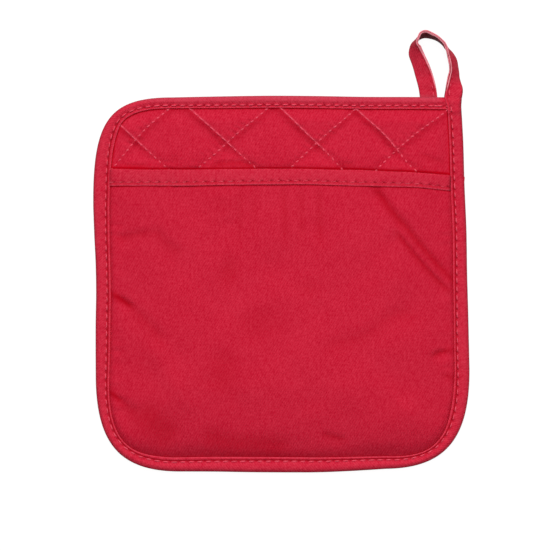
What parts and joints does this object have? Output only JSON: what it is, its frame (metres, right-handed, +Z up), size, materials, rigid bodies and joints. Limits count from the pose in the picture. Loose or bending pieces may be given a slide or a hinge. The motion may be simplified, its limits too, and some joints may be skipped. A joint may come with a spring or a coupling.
{
  "type": "quilted square oven mitt",
  "caption": "Square quilted cotton oven mitt with a bound edge, a hand pocket with a taped mouth on its front and a hanging loop at one corner.",
  "frame": {"origin": "on the surface the mitt lies on, under the middle of the square and its loop together", "axes": "+Z up from the surface, out of the pocket's face; +Y from the pocket's closed end towards its mouth and the loop; +X to the right seen from above, towards the loop's side"},
  "size_m": [0.1798, 0.2124, 0.0145],
  "materials": {
    "cloth": "red cotton twill, matt, with a fine diagonal weave",
    "tape": "red folded cotton tape, matt, slightly lighter at its folds",
    "thread": "red cotton sewing thread, slight sheen"
  },
  "bodies": {
    "root": {"quilted_pad": "cloth", "pocket_panel": "cloth", "pocket_trim": "tape", "edge_binding": "tape", "hanging_loop": "tape"}
  },
  "joints": []
}
